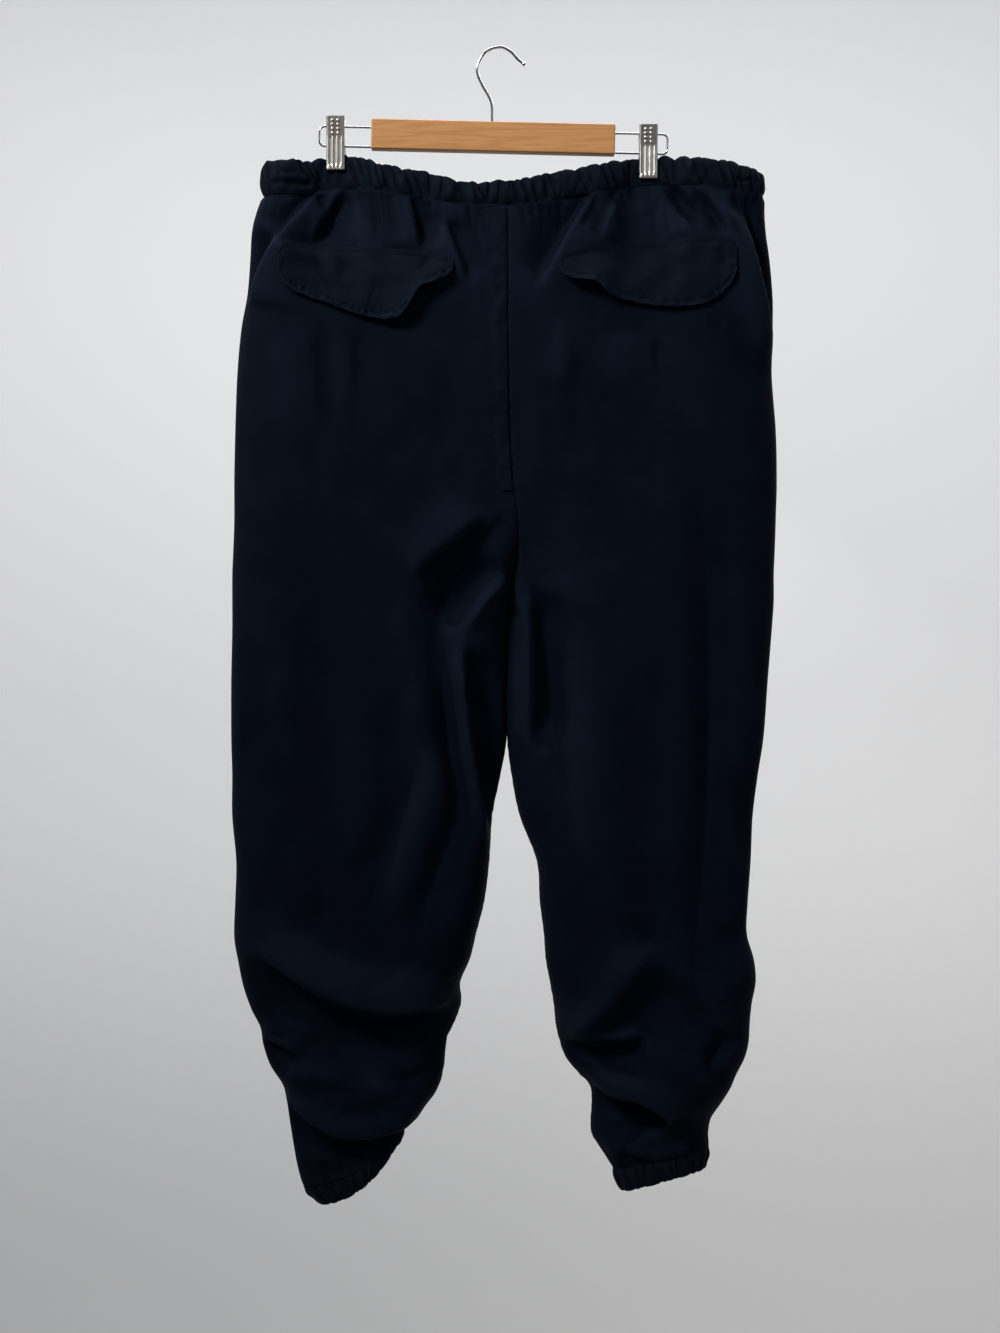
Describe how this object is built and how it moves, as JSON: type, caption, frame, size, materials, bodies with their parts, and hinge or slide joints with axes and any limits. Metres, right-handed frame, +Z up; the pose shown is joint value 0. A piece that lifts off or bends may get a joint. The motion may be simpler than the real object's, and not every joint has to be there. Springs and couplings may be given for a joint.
{
  "type": "parachute pants on a clip hanger",
  "caption": "Loose black cotton parachute pants with a gathered waist, flap pockets and gathered ankles, clipped to a wooden hanger by the waist.",
  "frame": {"origin": "the point under the top of the hanger's hook, where it bears on whatever it hangs from", "axes": "+Z up, front of the pants towards -Y, wearer's right towards -X"},
  "size_m": [0.5456, 0.1077, 1.1578],
  "materials": {
    "cotton": "matte washed cotton twill",
    "casing_cotton": "matte washed cotton twill, gathered",
    "flap_cotton": "matte washed cotton twill, doubled and stitched",
    "beech": "clear satin varnish",
    "chromed_wire": "polished",
    "nickelled_sheet": "satin nickel"
  },
  "bodies": {
    "root": {"front_right": "cotton", "front_left": "cotton", "back_right": "cotton", "back_left": "cotton", "fly_placket": "cotton", "waist_casing_right": "casing_cotton", "waist_casing_left": "casing_cotton", "hem_casing_right": "casing_cotton", "hem_casing_left": "casing_cotton", "flap_right": "flap_cotton", "flap_left": "flap_cotton", "hanger_bar": "beech", "hanger_hook": "chromed_wire", "hanger_rail_right": "chromed_wire", "hanger_rail_left": "chromed_wire", "clip_front_jaw_right": "nickelled_sheet", "clip_back_jaw_right": "nickelled_sheet", "clip_spring_right": "nickelled_sheet", "clip_front_jaw_left": "nickelled_sheet", "clip_back_jaw_left": "nickelled_sheet", "clip_spring_left": "nickelled_sheet"}
  },
  "joints": []
}
